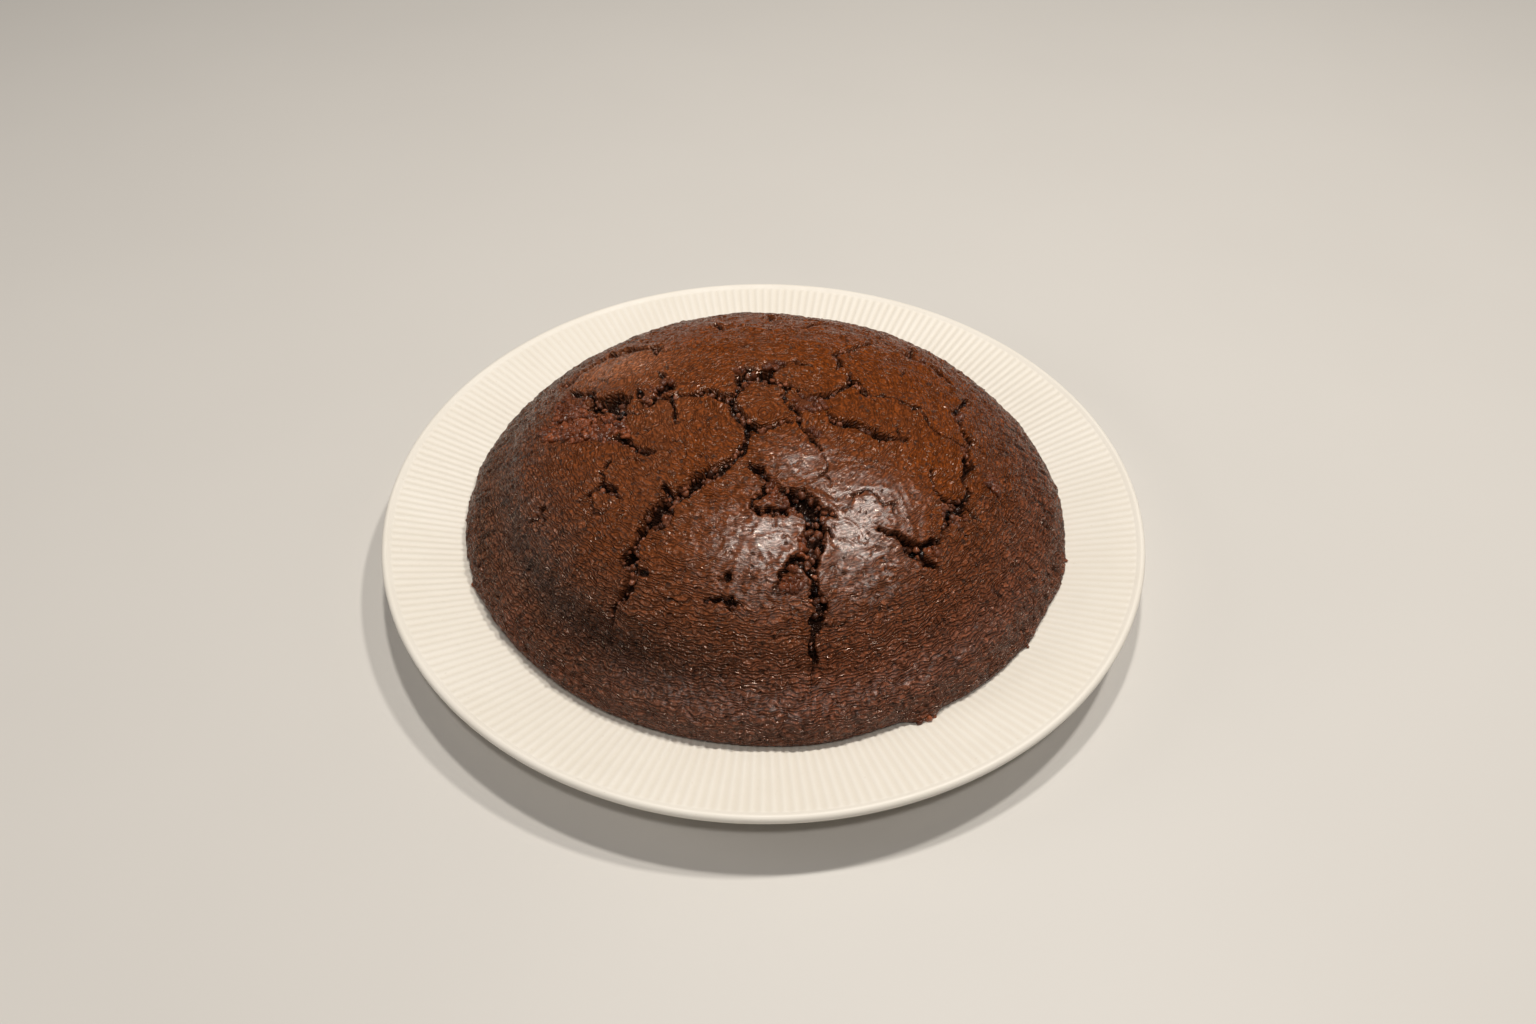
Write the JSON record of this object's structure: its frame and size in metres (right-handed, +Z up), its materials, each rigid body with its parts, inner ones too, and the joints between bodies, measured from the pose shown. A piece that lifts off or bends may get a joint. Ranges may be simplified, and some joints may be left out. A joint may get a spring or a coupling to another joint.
{
  "type": "lava cake",
  "caption": "Large round chocolate lava cake, domed and uncut, its crust split into cracked plates, served on a ribbed cream dinner plate.",
  "frame": {"origin": "middle of the plate's foot ring, on the surface it stands on", "axes": "+Z up; -Y towards the side of the cake shown in front, with the long crack that runs down to the foot"},
  "size_m": [0.26, 0.26, 0.0579],
  "materials": {
    "cake_crust": "baked chocolate crust, satin and moist in the cracks",
    "plate_glaze": "satin cream glaze over fine radial ribs"
  },
  "bodies": {
    "root": {"cake": "cake_crust", "plate": "plate_glaze"}
  },
  "joints": []
}
